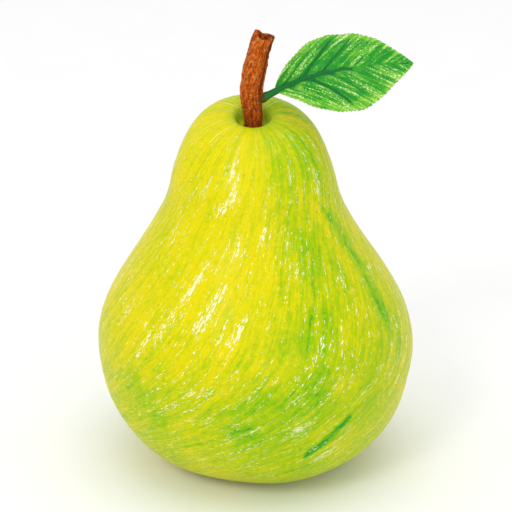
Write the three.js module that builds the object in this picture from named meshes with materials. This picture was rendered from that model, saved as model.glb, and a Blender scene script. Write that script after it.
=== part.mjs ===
// A pear, upright on the ring around the basin in its underside: the fruit, its woody stem, one leaf
// on the stem, and in the basin the dried flower, which is five sepals around a short tube of stamens.
// Millimetres, +Z up. The origin is on the fruit's axis, in the plane of the face that it rests on.

import * as THREE from "three";

// Driving dimensions

// Gap between two pieces that touch on the real fruit.
const clearance = 0.3;

const fruitSize = {
  height: 91, // resting face to the top of the crown
  bellyRadius: 39.6,
  bellyHeight: 32.5,
  neckRadius: 20.3,
  crownHeight: 16.6, // from the neck up to the top
  neckSlope: 0.175, // how much the neck still narrows per millimetre of height
  lipRadius: 5, // the highest ring of the crown
  cavityDepth: 2.6, // dimple that the stem rises from
  footInnerRadius: 9,
  footOuterRadius: 11.5, // the flat ring between these two carries the fruit
  basinDepth: 6,
};

// How long the tangents of the outline are, as shares of the stretch that they belong to.
const fullness = {
  underside: 0.62,
  lowerBelly: 0.52,
  upperBelly: 0.36,
  neck: 0.355,
  shoulder: 0.49,
  crown: 0.69,
};

// What keeps the fruit from being a turned shape. The waves are shares of the radius.
const unevenness = {
  ribs: 0.012,
  ribReach: 30, // height at which the five ribs of the underside have faded
  oval: 0.006,
  crownTilt: 0.3, // the crown's back stands higher than its front
  crownTiltReach: 24, // height of the zone that tilts
  neckLean: -0.6, // the neck, with all that stands on it, grew a little away from +X
  neckLeanFrom: 40,
  neckLeanTo: 75,
  baseLean: 1.1, // and the flank just above the resting face a little towards it
  baseLeanHeight: 8,
  baseLeanReach: 7,
};

const stemSize = {
  length: 22.6, // from the dimple to the broken end
  rootLength: 5.5, // hidden in the fruit
  rootRadius: 2.15,
  waistRadius: 2.8,
  waistHeight: 13, // above the dimple
  endRadius: 2.45,
  endTaperLength: 8,
  endDish: 0.9,
  lean: 2.6, // towards +X
  bow: 0.9, // away from +X, at mid length
  backLean: 0.8, // towards +Y
  cutSlant: 0.28, // fall of the broken end per millimetre towards +X
  cutReach: 8, // length of the end that leans over with the cut
};

const leafSize = {
  attachHeight: 7.3, // above the dimple
  reach: 35.6, // from the stem's side to the tip, along +X
  rise: 9.3,
  forward: 1.6, // how far the tip comes towards -Y
  petioleShare: 0.08, // share of the length that has no blade
  thickness: 0.6,
  tilt: 43, // degrees between the blade's cross direction and the ground
  fold: 0.2, // rise of each half per millimetre of width, at the midrib
  curl: 0.024, // how strongly each half bends back down towards its margin
  edgeThickness: 0.2, // of the stalk's two edges
  petioleRadius: 0.8,
  tipHalfWidth: 0.25,
  launch: 31, // degrees above level at which the stalk leaves the stem
};

// The half of the blade on each side of the midrib. Below 1, widestPlace puts its widest place before
// the middle and bluntness makes it fuller than a sine curve.
const farHalf = { width: 10.7, widestPlace: 0.95, baseBluntness: 0.64, tipBluntness: 0.9 };
const nearHalf = { width: 11.3, widestPlace: 1.12, baseBluntness: 0.88, tipBluntness: 0.88 };

const flowerSize = {
  tubeRadius: 2.2,
  tubeBore: 1.3,
  tubeHeight: 1.1,
  tuftLength: 2.6,
  sepalCount: 5,
  sepalLength: 4.4,
  sepalHalfWidth: 1.35,
  sepalThickness: 0.45,
  sepalDroop: 0.9,
  sepalTaper: 1.6,
  sepalTip: 0.12, // width at the tip, as a share of the widest
};

const sides = { fruit: 48, stem: 20, tube: 16, tuft: 10 };
const fruitSteps = { basin: 5, underside: 8, belly: 12, crown: 8, cavity: 4 };
const stemSteps = 12;
const leafSteps = { along: 26, across: 10 };
const sepalSteps = { along: 7, across: 4 };

// Shape helpers

const mix = (a, b, t) => a + (b - a) * t;

const smooth = (t) => {
  const s = THREE.MathUtils.clamp(t, 0, 1);
  return s * s * (3 - 2 * s);
};

// Turns a profile of (radius, height) points about the Z axis.
function turned(points, segments) {
  const profile = points.map(([radius, height]) => new THREE.Vector2(radius, height));
  return new THREE.LatheGeometry(profile, segments).rotateX(Math.PI / 2);
}

// Moves every vertex of a geometry to where place(point) says.
function reshaped(geometry, place) {
  const position = geometry.getAttribute("position");
  const point = new THREE.Vector3();
  for (let i = 0; i < position.count; i++) {
    const moved = place(point.fromBufferAttribute(position, i));
    position.setXYZ(i, moved.x, moved.y, moved.z);
  }
  return geometry;
}

// Points of a cubic curve in the outline, without its first one.
function curvePoints(from, control1, control2, to, steps) {
  const curve = new THREE.CubicBezierCurve(
    ...[from, control1, control2, to].map(([x, y]) => new THREE.Vector2(x, y)),
  );
  return curve
    .getPoints(steps)
    .slice(1)
    .map((p) => [p.x, p.y]);
}

// A closed plate around surface(u, v), with u and v from 0 to 1, as thick as thickness(u, v) says.
function plate(surface, thickness, along, across) {
  const step = 1e-3;
  const rows = along + 1;
  const columns = across + 1;
  const corner = (side, i, j) => (side * rows + i) * columns + j;
  const vertices = [];
  for (const side of [0, 1]) {
    for (let i = 0; i < rows; i++) {
      for (let j = 0; j < columns; j++) {
        const u = i / along;
        const v = j / across;
        const alongU = surface(Math.min(u + step, 1), v).sub(surface(Math.max(u - step, 0), v));
        const alongV = surface(u, Math.min(v + step, 1)).sub(surface(u, Math.max(v - step, 0)));
        const normal = alongU.cross(alongV).normalize();
        const offset = (thickness(u, v) / 2) * (side === 1 ? 1 : -1);
        vertices.push(...surface(u, v).addScaledVector(normal, offset).toArray());
      }
    }
  }
  const faces = [];
  const quad = (a, b, c, d) => faces.push(a, b, c, a, c, d);
  for (let i = 0; i < along; i++) {
    for (let j = 0; j < across; j++) {
      quad(corner(1, i, j), corner(1, i + 1, j), corner(1, i + 1, j + 1), corner(1, i, j + 1));
      quad(corner(0, i, j), corner(0, i, j + 1), corner(0, i + 1, j + 1), corner(0, i + 1, j));
    }
    quad(corner(0, i, 0), corner(0, i + 1, 0), corner(1, i + 1, 0), corner(1, i, 0));
    quad(corner(1, i, across), corner(1, i + 1, across), corner(0, i + 1, across), corner(0, i, across));
  }
  for (let j = 0; j < across; j++) {
    quad(corner(0, 0, j), corner(1, 0, j), corner(1, 0, j + 1), corner(0, 0, j + 1));
    quad(corner(0, along, j), corner(0, along, j + 1), corner(1, along, j + 1), corner(1, along, j));
  }
  return new THREE.BufferGeometry()
    .setAttribute("position", new THREE.Float32BufferAttribute(vertices, 3))
    .setIndex(faces);
}

function named(name, geometry, color, roughness) {
  const material = new THREE.MeshStandardMaterial({ color, roughness, metalness: 0 });
  const mesh = new THREE.Mesh(geometry, material);
  mesh.name = name;
  return mesh;
}

// Fruit

const dimpleHeight = fruitSize.height - fruitSize.cavityDepth;
const socketRadius = stemSize.rootRadius + clearance;
const socketFloor = dimpleHeight - stemSize.rootLength - clearance;

// The basin in the underside is a shallow dome, fuller than an ellipse.
const basinPower = 2.5;

function basinHeight(radius) {
  const share = Math.min(radius / fruitSize.footInnerRadius, 1);
  return fruitSize.basinDepth * (1 - share ** basinPower) ** (1 / basinPower);
}

function basinOutline() {
  const points = [];
  for (let i = 0; i <= fruitSteps.basin; i++) {
    const radius = fruitSize.footInnerRadius * Math.sin((i / fruitSteps.basin) * (Math.PI / 2));
    points.push([radius, basinHeight(radius)]);
  }
  return points;
}

function fruitOutline() {
  const s = fruitSize;
  const neckHeight = s.height - s.crownHeight;
  const waist = neckHeight - s.bellyHeight;
  const neckReach = waist * fullness.neck;
  const shoulderReach = s.crownHeight * fullness.shoulder;
  const foot = [s.footOuterRadius, 0];
  const belly = [s.bellyRadius, s.bellyHeight];
  const neck = [s.neckRadius, neckHeight];
  const lip = [s.lipRadius, s.height];
  const socketRim = [socketRadius, dimpleHeight];
  const underside = curvePoints(
    foot,
    [mix(s.footOuterRadius, s.bellyRadius, fullness.underside), 0],
    [s.bellyRadius, s.bellyHeight * (1 - fullness.lowerBelly)],
    belly,
    fruitSteps.underside,
  );
  const upper = curvePoints(
    belly,
    [s.bellyRadius, s.bellyHeight + waist * fullness.upperBelly],
    [s.neckRadius + neckReach * s.neckSlope, neckHeight - neckReach],
    neck,
    fruitSteps.belly,
  );
  const crown = curvePoints(
    neck,
    [s.neckRadius - shoulderReach * s.neckSlope, neckHeight + shoulderReach],
    [mix(s.lipRadius, s.neckRadius, fullness.crown), s.height],
    lip,
    fruitSteps.crown,
  );
  const cavity = curvePoints(
    lip,
    [mix(s.lipRadius, socketRadius, 0.5), s.height],
    [mix(s.lipRadius, socketRadius, 0.6), dimpleHeight],
    socketRim,
    fruitSteps.cavity,
  );
  const socket = [
    [socketRadius, socketFloor],
    [0, socketFloor],
  ];
  return [...basinOutline(), foot, ...underside, ...upper, ...crown, ...cavity, ...socket];
}

// How far the fruit has grown sideways at a height and a distance from its axis.
function neckShift(height) {
  const { neckLean, neckLeanFrom, neckLeanTo } = unevenness;
  return neckLean * smooth((height - neckLeanFrom) / (neckLeanTo - neckLeanFrom));
}

function baseShift(height, radius) {
  const { baseLean, baseLeanHeight, baseLeanReach } = unevenness;
  const inFlank = smooth(height / 4) * smooth((radius - fruitSize.footOuterRadius) / 8);
  return baseLean * Math.exp(-(((height - baseLeanHeight) / baseLeanReach) ** 2)) * inFlank;
}

// Ribs under the belly, a slightly oval section, and a crown that tilts forward around a level dimple.
function grown(point) {
  const angle = Math.atan2(point.y, point.x);
  const radius = Math.hypot(point.x, point.y);
  const ribs = unevenness.ribs * Math.cos(5 * angle) * (1 - smooth(point.z / unevenness.ribReach));
  const oval = unevenness.oval * Math.cos(2 * angle);
  const swell = 1 + ribs + oval;
  const zone = unevenness.crownTiltReach;
  const inCrown = smooth((point.z - (fruitSize.height - zone)) / zone);
  const pastDimple = smooth((radius - socketRadius) / (fruitSize.lipRadius - socketRadius));
  return new THREE.Vector3(
    point.x * swell + neckShift(point.z) + baseShift(point.z, radius),
    point.y * swell,
    point.z + unevenness.crownTilt * point.y * inCrown * pastDimple,
  );
}

function fruit() {
  return named("fruit", reshaped(turned(fruitOutline(), sides.fruit), grown), 0xdcd80c, 0.45);
}

// Stem

// How far the stem's axis has moved sideways at a height above the dimple. The root stays straight,
// and the bow sets in over the first third.
function stemShift(height) {
  const share = THREE.MathUtils.clamp(height / stemSize.length, 0, 1);
  const bow = stemSize.bow * Math.sin(Math.PI * share) * smooth(3 * share);
  const lean = stemSize.lean * share ** 2;
  return new THREE.Vector2(neckShift(dimpleHeight) + lean - bow, stemSize.backLean * share ** 2);
}

function stemRadius(height) {
  const s = stemSize;
  const swelling = mix(s.rootRadius, s.waistRadius, smooth(height / s.waistHeight));
  const taper = smooth((height - (s.length - s.endTaperLength)) / s.endTaperLength);
  return mix(swelling, s.endRadius, taper);
}

function stemOutline() {
  const { length, rootLength, rootRadius, endRadius, endDish } = stemSize;
  const points = [
    [0, -rootLength],
    [rootRadius, -rootLength],
  ];
  for (let i = 0; i <= stemSteps; i++) {
    const height = (length * i) / stemSteps;
    points.push([stemRadius(height), height]);
  }
  // The broken end is hollowed, most of it near the rim.
  points.push([0.75 * endRadius, length - 0.6 * endDish]);
  points.push([0, length - endDish]);
  return points;
}

function stem() {
  const bent = reshaped(turned(stemOutline(), sides.stem), (point) => {
    const shift = stemShift(point.z);
    const nearEnd = smooth((point.z - (stemSize.length - stemSize.cutReach)) / stemSize.cutReach);
    return new THREE.Vector3(
      point.x + shift.x,
      point.y + shift.y,
      point.z - stemSize.cutSlant * point.x * nearEnd + dimpleHeight,
    );
  });
  return named("stem", bent, 0xad5508, 0.8);
}

// Leaf

const launch = THREE.MathUtils.degToRad(leafSize.launch);

// The stalk's end is square to it, so its upper edge leans back towards the stem.
const leafRoot = (() => {
  const shift = stemShift(leafSize.attachHeight);
  const leanBack = leafSize.petioleRadius * Math.sin(launch);
  return new THREE.Vector3(
    shift.x + stemRadius(leafSize.attachHeight) + clearance + leanBack,
    shift.y,
    dimpleHeight + leafSize.attachHeight,
  );
})();

const fromLeafRoot = (x, y, z) => new THREE.Vector3(x, y, z).add(leafRoot);

// The midrib leaves the stem steeply and arches over towards the tip. Its inner points are at 0.3 and
// 0.62 of the reach.
const midrib = new THREE.CubicBezierCurve3(
  leafRoot,
  fromLeafRoot(0.3 * leafSize.reach, 0, 0.3 * leafSize.reach * Math.tan(launch)),
  fromLeafRoot(0.62 * leafSize.reach, -0.5 * leafSize.forward, 0.88 * leafSize.rise),
  fromLeafRoot(leafSize.reach, -leafSize.forward, leafSize.rise),
);

// The blade's cross direction is square to the line from the leaf's root to its tip.
const leafAxis = midrib.v3.clone().sub(leafRoot).normalize();
const tilt = THREE.MathUtils.degToRad(leafSize.tilt);
const crossDirection = new THREE.Vector3(0, Math.cos(tilt), Math.sin(tilt));
crossDirection.addScaledVector(leafAxis, -crossDirection.dot(leafAxis)).normalize();
const leafUp = leafAxis.clone().cross(crossDirection);

// Share of the blade's length that a point of the leaf lies at: below 0 on the stalk.
const bladeShare = (u) => (u - leafSize.petioleShare) / (1 - leafSize.petioleShare);

// Width of one half of the leaf: the stalk's radius, then the blade.
function leafHalfWidth(u, half) {
  const share = THREE.MathUtils.clamp(bladeShare(u), 0, 1);
  const stalk = mix(leafSize.petioleRadius, leafSize.tipHalfWidth, share);
  const bluntness = mix(half.baseBluntness, half.tipBluntness, share);
  const swell = Math.max(Math.sin(Math.PI * share ** half.widestPlace), 0) ** bluntness;
  return stalk + (half.width - stalk) * swell;
}

// Distance from the midrib: positive on the far half, where v is above 0.5.
const leafAcross = (u, v) => (2 * v - 1) * leafHalfWidth(u, v > 0.5 ? farHalf : nearHalf);

// Each half rises from the midrib and bends over to its margin.
function leafPoint(u, v) {
  const across = leafAcross(u, v);
  const raised = leafSize.fold * Math.abs(across) - leafSize.curl * across ** 2;
  return midrib
    .getPoint(u)
    .addScaledVector(crossDirection, across)
    .addScaledVector(leafUp, raised * smooth(4 * bladeShare(u)));
}

// A round stalk that runs on as a midrib under the middle of a thin blade.
function leafThickness(u, v) {
  const across = Math.abs(leafAcross(u, v));
  const radius = mix(leafSize.petioleRadius, leafSize.tipHalfWidth, smooth(u));
  const rod = 2 * Math.sqrt(Math.max(radius ** 2 - across ** 2, 0));
  return Math.max(rod, mix(leafSize.edgeThickness, leafSize.thickness, smooth(5 * bladeShare(u))));
}

function leaf() {
  const blade = plate(leafPoint, leafThickness, leafSteps.along, leafSteps.across);
  return named("leaf", blade, 0x54a82b, 0.6);
}

// Dried flower

const tubeTop = basinHeight(0) - clearance;

function floralTube() {
  const { tubeRadius, tubeBore, tubeHeight } = flowerSize;
  const ring = [
    [tubeBore, tubeTop - tubeHeight],
    [tubeRadius, tubeTop - tubeHeight],
    [tubeRadius, tubeTop],
    [tubeBore, tubeTop],
    [tubeBore, tubeTop - tubeHeight],
  ];
  return named("floral_tube", turned(ring, sides.tube), 0x5b3f20, 0.9);
}

// The withered stamens stand in the tube's bore, as one tuft that spreads towards its tips.
function driedStamens() {
  const radius = flowerSize.tubeBore - clearance;
  const bottom = tubeTop - flowerSize.tuftLength;
  const tuft = [
    [0, bottom],
    [0.95 * radius, bottom + 0.2 * flowerSize.tuftLength],
    [radius, bottom + 0.4 * flowerSize.tuftLength],
    [0.8 * radius, tubeTop],
    [0, tubeTop],
  ];
  return named("dried_stamens", turned(tuft, sides.tuft), 0x2f2013, 0.95);
}

// A sepal lies along the basin's ceiling and droops a little towards its tip.
function sepal(index) {
  const s = flowerSize;
  const heading = (2 * Math.PI * index) / s.sepalCount + Math.PI / 2;
  const outward = new THREE.Vector3(Math.cos(heading), Math.sin(heading), 0);
  const sideways = new THREE.Vector3(-Math.sin(heading), Math.cos(heading), 0);
  const root = s.tubeRadius + clearance;
  const surface = (u, v) => {
    const radius = root + s.sepalLength * u;
    const side = (2 * v - 1) * s.sepalHalfWidth * Math.max(1 - u ** s.sepalTaper, s.sepalTip);
    const ceiling = basinHeight(Math.hypot(radius, side)) - clearance;
    return outward
      .clone()
      .multiplyScalar(radius)
      .addScaledVector(sideways, side)
      .setZ(ceiling - s.sepalThickness - s.sepalDroop * u ** 2);
  };
  const blade = plate(surface, () => s.sepalThickness, sepalSteps.along, sepalSteps.across);
  return named(`sepal_${index + 1}`, blade, 0x6a4a25, 0.9);
}

// The pear

const pear = new THREE.Group();
pear.add(fruit(), stem(), leaf(), floralTube(), driedStamens());
for (let i = 0; i < flowerSize.sepalCount; i++) pear.add(sepal(i));

export default pear;
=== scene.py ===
import math
import bpy
import numpy as np
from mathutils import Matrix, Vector


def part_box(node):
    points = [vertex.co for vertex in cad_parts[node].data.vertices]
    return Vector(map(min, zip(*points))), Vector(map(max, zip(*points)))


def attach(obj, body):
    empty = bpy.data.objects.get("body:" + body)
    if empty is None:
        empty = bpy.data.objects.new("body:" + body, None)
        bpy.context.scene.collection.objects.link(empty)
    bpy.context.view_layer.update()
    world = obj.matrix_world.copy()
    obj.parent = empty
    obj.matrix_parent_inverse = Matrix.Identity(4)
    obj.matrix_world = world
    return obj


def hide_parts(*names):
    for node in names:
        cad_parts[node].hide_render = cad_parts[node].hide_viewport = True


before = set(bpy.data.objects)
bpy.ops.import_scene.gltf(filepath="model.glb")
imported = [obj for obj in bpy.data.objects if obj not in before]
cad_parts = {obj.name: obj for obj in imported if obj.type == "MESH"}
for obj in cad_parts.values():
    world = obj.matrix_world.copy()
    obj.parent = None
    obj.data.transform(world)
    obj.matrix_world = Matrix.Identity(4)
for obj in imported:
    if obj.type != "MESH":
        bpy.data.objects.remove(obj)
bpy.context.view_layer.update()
mm = 0.001  # all shapes below are worked out in millimetres
print("frame loaded:", ", ".join(sorted(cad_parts)))


def nodeBox(node):
    # lowest and highest corner of a CAD node, in millimetres
    low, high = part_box(node)
    return np.array(low) / mm, np.array(high) / mm


# Shape helpers

def mix(a, b, t):
    # t of the way from a to b
    return a + (b - a) * t


def smooth(t):
    # 0 below 0, 1 above 1, and 3 t squared minus 2 t cubed between
    s = np.clip(t, 0, 1)
    return s * s * (3 - 2 * s)


def bell(t):
    # e to the minus t squared
    return np.exp(-t * t)


def past(value, edge):
    # eased from 0 at the edge's first number to 1 beyond it by the second, downwards where that is negative
    return smooth((value - edge[0]) / edge[1])


def near(value, spot):
    # a bell about the spot's first number, as wide as the second
    return bell((value - spot[0]) / spot[1])


def stacked(*parts):
    # coordinates spread over one grid and joined as points
    return np.stack(np.broadcast_arrays(*parts), -1)


def turns(count):
    # angles evenly spread over a full turn
    return np.linspace(0, 2 * np.pi, count, endpoint=False)


def polar(radius, angle):
    # x and y of the points at a radius and an angle from +X
    return radius * np.cos(angle), radius * np.sin(angle)


def wrapTurn(turn):
    # an angle brought to between minus half a turn and half a turn
    return np.angle(np.exp(1j * turn))


def cubic(start, control1, control2, end, t):
    # a cubic Bezier curve, each point weighted by its share of ((1 - t) + t) cubed
    t = np.asarray(t)[..., None]
    start, control1, control2, end = (np.asarray(p, float) for p in (start, control1, control2, end))
    return (
        start * (1 - t) ** 3 + control1 * 3 * t * (1 - t) ** 2
        + control2 * 3 * t * t * (1 - t) + end * t ** 3
    )


def ripple(points, depth, wavelength, seed, waves=28):
    # a sum of cosines in random directions, each of about one wavelength, scaled to a deviation of one depth
    rng = np.random.default_rng(seed)
    directions = rng.normal(size=(waves, 3))
    directions /= np.linalg.norm(directions, axis=1, keepdims=True)
    rates = 2 * np.pi / (wavelength * rng.uniform(0.7, 1.4, waves))
    phases = rng.uniform(0, 2 * np.pi, waves)
    total = np.cos(points @ (directions * rates[:, None]).T + phases).sum(-1)
    return depth * (total * math.sqrt(2 / waves))


def gridNormals(points, ring, towards):
    # cross product of the grid's two directions, each the difference of the neighbours on both sides, all
    # turned round where they point away from the wanted side
    along = np.gradient(points, axis=0)
    if ring:
        across = np.roll(points, -1, axis=1) - np.roll(points, 1, axis=1)
    else:
        across = np.gradient(points, axis=1)
    normals = np.cross(along, across)
    normals = normals / np.maximum(np.linalg.norm(normals, axis=-1, keepdims=True), 1e-9)
    return normals * np.sign((normals * towards).sum(-1).mean())


# Mesh helpers. A shell is one closed surface: its points, its faces, and a value at each point for each layer.

def outward(points, quads, layers, triangles=np.zeros((0, 3), int)):
    # a shell with its faces turned round where the sum of the signed volumes under them is negative
    corners = np.concatenate([quads[:, [0, 1, 2]], quads[:, [0, 2, 3]], triangles])
    a, b, c = (points[corners[:, k]] for k in range(3))
    if np.einsum("ij,ij->i", a, np.cross(b, c)).sum() < 0:
        quads, triangles = quads[:, ::-1], triangles[:, ::-1]
    return {"points": points, "quads": quads, "triangles": triangles, "layers": layers}


def faces(grid):
    # the four-cornered faces between neighbours in a grid of point numbers
    return stacked(grid[:-1, :-1], grid[:-1, 1:], grid[1:, 1:], grid[1:, :-1]).reshape(-1, 4)


def perPoint(value, rows, columns):
    # a layer's value at every point of a grid, one row for each point
    rest = np.shape(value)[2:]
    return np.broadcast_to(value, (rows, columns, *rest)).reshape(rows * columns, *rest)


def ringShell(rings, layers, poles=None):
    # rings of points joined into a tube, each end closed by a fan onto its pole, or else onto its middle
    poles = poles or (rings[0].mean(0), rings[-1].mean(0))
    rows, columns = rings.shape[:2]
    index = 1 + np.arange(rows * columns).reshape(rows, columns)
    following = np.roll(index, -1, axis=1)
    quads = faces(np.pad(index, ((0, 0), (0, 1)), "wrap"))
    last = rows * columns + 1
    fans = [
        stacked(0, following[0], index[0]),
        stacked(last, index[-1], following[-1]),
    ]
    points = np.concatenate([[poles[0]], rings.reshape(-1, 3), [poles[1]]])
    spread = {}
    for name, value in layers.items():
        flat = perPoint(value, rows, columns)
        ends = flat[:columns].mean(0)[None], flat[-columns:].mean(0)[None]
        spread[name] = np.concatenate([ends[0], flat, ends[1]])
    return outward(points, quads, spread, np.concatenate(fans))


def plateShell(top, bottom, topLayers, bottomLayers):
    # two grids of points, one above the other, joined by a strip all round the margin
    rows, columns = top.shape[:2]
    upper = np.arange(rows * columns).reshape(rows, columns)
    lower = upper + rows * columns

    def margin(grid):
        return np.concatenate([grid[0], grid[1:, -1], grid[-1, -2::-1], grid[-2:0:-1, 0]])

    rim, under = margin(upper), margin(lower)
    strip = stacked(rim, under, np.roll(under, -1), np.roll(rim, -1))
    quads = np.concatenate([faces(upper), faces(lower)[:, ::-1], strip])
    layers = {
        name: np.concatenate([perPoint(side[name], rows, columns) for side in (topLayers, bottomLayers)])
        for name in topLayers
    }
    points = np.concatenate([top.reshape(-1, 3), bottom.reshape(-1, 3)])
    return outward(points, quads, layers)


def makePiece(name, shells, material, nodes):
    # one mesh object that holds the shells, stands for its CAD nodes and rides on the body
    starts = np.cumsum([0] + [len(shell["points"]) for shell in shells])
    points = np.concatenate([shell["points"] for shell in shells]) * mm
    quads = np.concatenate([shell["quads"] + at for shell, at in zip(shells, starts)])
    triangles = np.concatenate([shell["triangles"] + at for shell, at in zip(shells, starts)])
    corners = np.concatenate([quads.ravel(), triangles.ravel()])
    sizes = np.concatenate([np.full(len(quads), 4), np.full(len(triangles), 3)])
    mesh = bpy.data.meshes.new(name)
    mesh.vertices.add(len(points))
    mesh.vertices.foreach_set("co", points.astype(np.float32).ravel())
    mesh.loops.add(len(corners))
    mesh.loops.foreach_set("vertex_index", corners.astype(np.int32))
    mesh.polygons.add(len(sizes))
    mesh.polygons.foreach_set("loop_start", np.concatenate([[0], np.cumsum(sizes)[:-1]]).astype(np.int32))
    mesh.polygons.foreach_set("use_smooth", np.ones(len(sizes), bool))
    mesh.update(calc_edges=True)
    mesh.validate()
    for layer in shells[0]["layers"]:
        values = np.concatenate([shell["layers"][layer] for shell in shells]).astype(np.float32)
        kind, field = ("FLOAT", "value") if values.ndim == 1 else ("FLOAT_VECTOR", "vector")
        mesh.attributes.new(layer, kind, "POINT").data.foreach_set(field, values.ravel())
    mesh.materials.append(material)
    piece = bpy.data.objects.new(name, mesh)
    bpy.context.scene.collection.objects.link(piece)
    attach(piece, "root")
    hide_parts(*nodes)
    print(f"{name}: {len(points)} points, {2 * len(quads) + len(triangles)} triangles")


# Material helpers

class Wire:
    # a value in a material: + - and * between wires and numbers add Math nodes
    def __init__(self, finish, socket):
        self.finish, self.socket = finish, socket

    def math(self, operation, first, second):
        return self.finish.node("ShaderNodeMath", {"operation": operation}, {0: first, 1: second})

    def __add__(self, other):
        return self.math("ADD", self, other)

    def __sub__(self, other):
        return self.math("SUBTRACT", self, other)

    def __rsub__(self, other):
        return self.math("SUBTRACT", other, self)

    def __mul__(self, other):
        return self.math("MULTIPLY", self, other)

    __radd__ = __add__


def screenColour(rgb):
    # a colour as a screen shows it, 0 to 255, turned into the linear light that shaders use
    share = np.array(rgb) / 255
    linear = np.where(share <= 0.04045, share / 12.92, ((share + 0.055) / 1.055) ** 2.4)
    return (*(float(x) for x in linear), 1.0)


class Finish:
    # one material: a Principled shader, the nodes that feed it and the palette that names its colours
    def __init__(self, name, palette, **constants):
        self.palette = palette
        self.material = bpy.data.materials.new(name)
        self.material.use_nodes = True
        self.tree = self.material.node_tree
        self.shader = self.tree.nodes["Principled BSDF"]
        for socket, value in constants.items():
            self.shader.inputs[socket.replace("_", " ")].default_value = value

    def node(self, kind, settings=None, sockets=None, output=0):
        made = self.tree.nodes.new(kind)
        for setting, value in (settings or {}).items():
            setattr(made, setting, value)
        for socket, value in (sockets or {}).items():
            if isinstance(value, Wire):
                self.tree.links.new(value.socket, made.inputs[socket])
            else:
                made.inputs[socket].default_value = value
        return Wire(self, made.outputs[output])

    def layer(self, name, vector=False):
        # a value that the mesh carries at its points
        return self.node("ShaderNodeAttribute", {"attribute_name": name}, output="Vector" if vector else "Fac")

    def place(self):
        return self.node("ShaderNodeTexCoord", output="Object")

    def noise(self, vector, scale, detail=2.0, roughness=0.5, distortion=0.0):
        # one scale for all directions or one for each
        if isinstance(scale, tuple):
            vector = self.node("ShaderNodeVectorMath", {"operation": "MULTIPLY"}, {0: vector, 1: scale})
            scale = 1.0
        sockets = {"Vector": vector, "Scale": scale, "Detail": detail, "Roughness": roughness,
                   "Distortion": distortion}
        return self.node("ShaderNodeTexNoise", {}, sockets)

    def cells(self, vector, scale, feature="F1"):
        # distance to the nearest of scattered points, or to the edge of its cell
        return self.node("ShaderNodeTexVoronoi", {"feature": feature}, {"Vector": vector, "Scale": scale})

    def swing(self, noise, amount):
        # how far the noise lies from its middle, times the amount
        return (noise - 0.5) * amount

    def ramp(self, value, **places):
        # from colour to colour of the palette, each at its place
        wire = self.node("ShaderNodeValToRGB", {}, {"Fac": value})
        elements = wire.socket.node.color_ramp.elements
        while len(elements) < len(places):
            elements.new(1.0)
        for element, (name, place) in zip(elements, places.items()):
            element.position, element.color = place, screenColour(self.palette[name])
        return wire

    def eased(self, value, low, high):
        # 0 where the value is at low, 1 at high, eased between
        settings = {"interpolation_type": "SMOOTHSTEP"}
        return self.node("ShaderNodeMapRange", settings, {"Value": value, "From Min": low, "From Max": high})

    def limited(self, value):
        # no less than 0 and no more than 1
        return self.node("ShaderNodeClamp", {}, {"Value": value})

    def blend(self, first, second, share):
        # from the first colour to the second, wires or names; a Mix node's colour sockets have these numbers
        colours = [c if isinstance(c, Wire) else screenColour(self.palette[c]) for c in (first, second)]
        settings = {"data_type": "RGBA"}
        return self.node("ShaderNodeMix", settings, {0: share, 6: colours[0], 7: colours[1]}, output=2)

    def relief(self, height, depth):
        # height in 0 to 1 stands up by depth millimetres
        return self.node("ShaderNodeBump", {}, {"Height": height, "Distance": depth * mm, "Strength": 1.0})

    def feed(self, **wires):
        # links wires to the shader's sockets and gives the material
        for socket, wire in wires.items():
            self.tree.links.new(wire.socket, self.shader.inputs[socket.replace("_", " ")])
        return self.material


# Camera, light and floor

studio = {
    "elevation": 22,  # degrees above the horizon, looking along +Y
    "distance": 520,
    "aim": (0.12, 0, 54.2),
    "frameWidth": 128,  # width of the view at the aim
    "worldLight": 0.78,
    "clipFrom": 10, "clipTo": 20000,
    "floorColour": (252, 252, 252), "floorShade": (248.22, 248.22, 248.22), "floorGrain": 40,
    "floorRadius": 3000, "floorCorners": 96, "floorDrop": 0.02,
    # place and aim in millimetres, size across, strength in watts
    "lamps": {
        "key": {"at": (-420, -760, 760), "size": 300, "watts": 2.0},
        "top": {"at": (40, -160, 1700), "size": 1500, "watts": 7.5},
        "front": {"at": (380, -1260, 520), "size": 900, "watts": 1.5},
    },
}


def aimed(item, at, towards):
    # the item at one point, its local -Z towards another
    item.location = Vector(at) * mm
    item.rotation_mode = "QUATERNION"
    item.rotation_quaternion = (Vector(towards) - Vector(at)).to_track_quat("-Z", "Y")


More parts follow.
